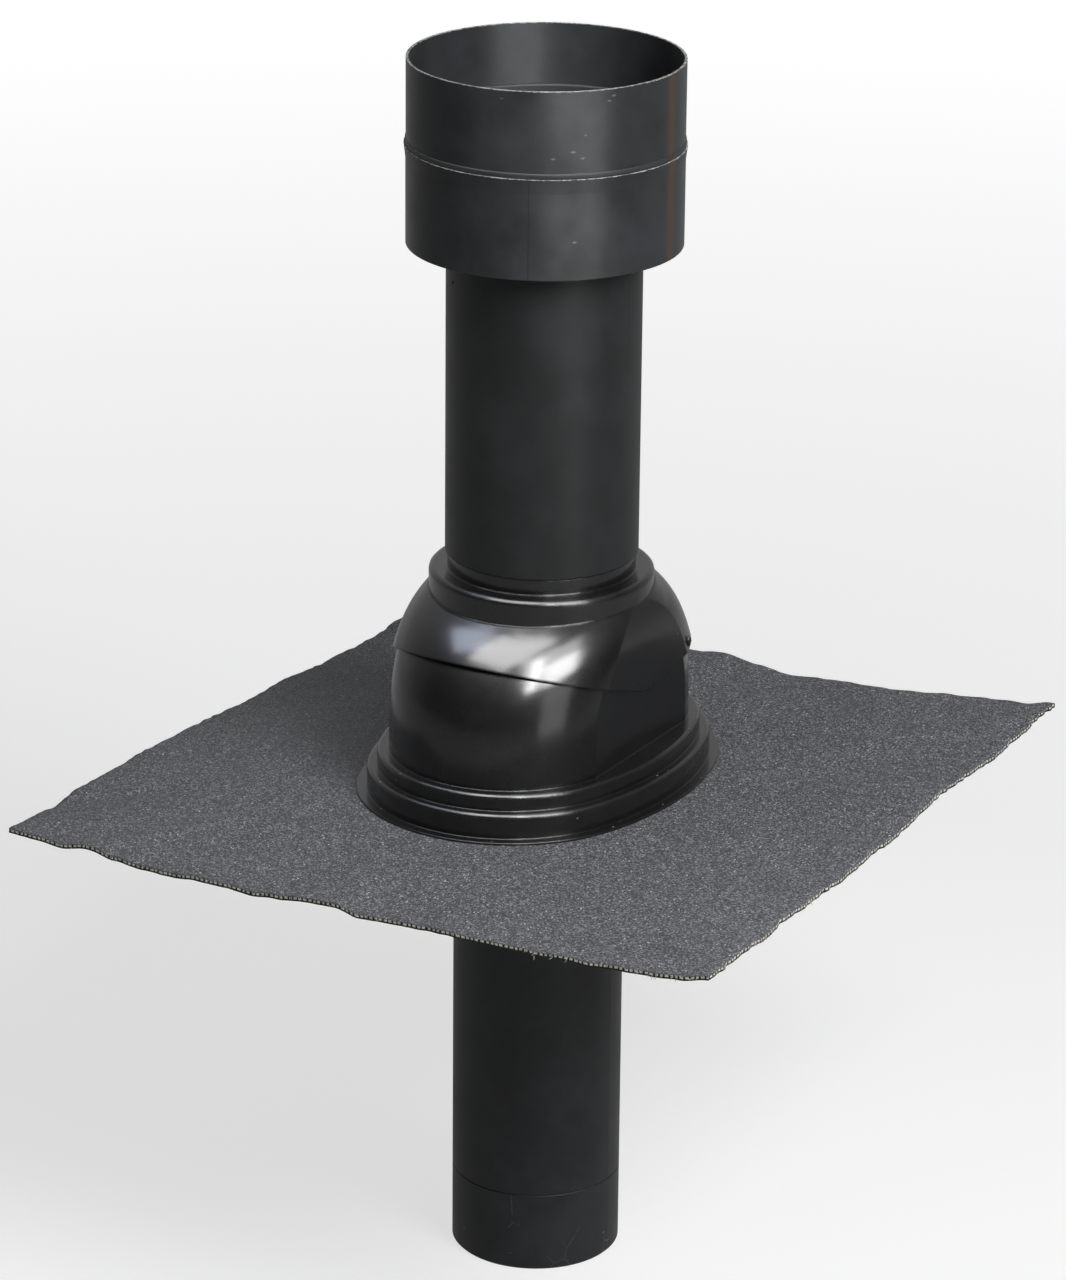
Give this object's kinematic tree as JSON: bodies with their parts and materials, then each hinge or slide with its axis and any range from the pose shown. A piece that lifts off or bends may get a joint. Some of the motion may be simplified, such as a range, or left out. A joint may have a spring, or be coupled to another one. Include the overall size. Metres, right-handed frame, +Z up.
{
  "type": "roof vent with pipe flashing boot",
  "caption": "Upright roof vent pipe with an open ring cowl, through a domed flashing boot welded to a square mineral felt flange.",
  "frame": {"origin": "on the pipe's axis at the pipe's lower end", "axes": "+Z up the pipe, +Y along the boot's long axis, +X square to the boot's flat sides"},
  "size_m": [0.5, 0.5, 0.8012],
  "materials": {
    "felt": "mineral granules in bitumen",
    "boot": "semi-gloss moulded",
    "pipe": "matte extruded, lightly scuffed",
    "sleeve": "matte extruded",
    "cowl": "satin extruded",
    "spider": "satin moulded"
  },
  "bodies": {
    "root": {"felt_flange": "felt", "boot_base": "boot", "boot_hood": "boot", "vent_pipe": "pipe", "pipe_spigot": "pipe", "outer_sleeve": "sleeve", "cowl_spider": "spider", "rain_deflector": "spider", "cowl_lower_ring": "cowl", "cowl_upper_ring": "cowl"}
  },
  "joints": []
}
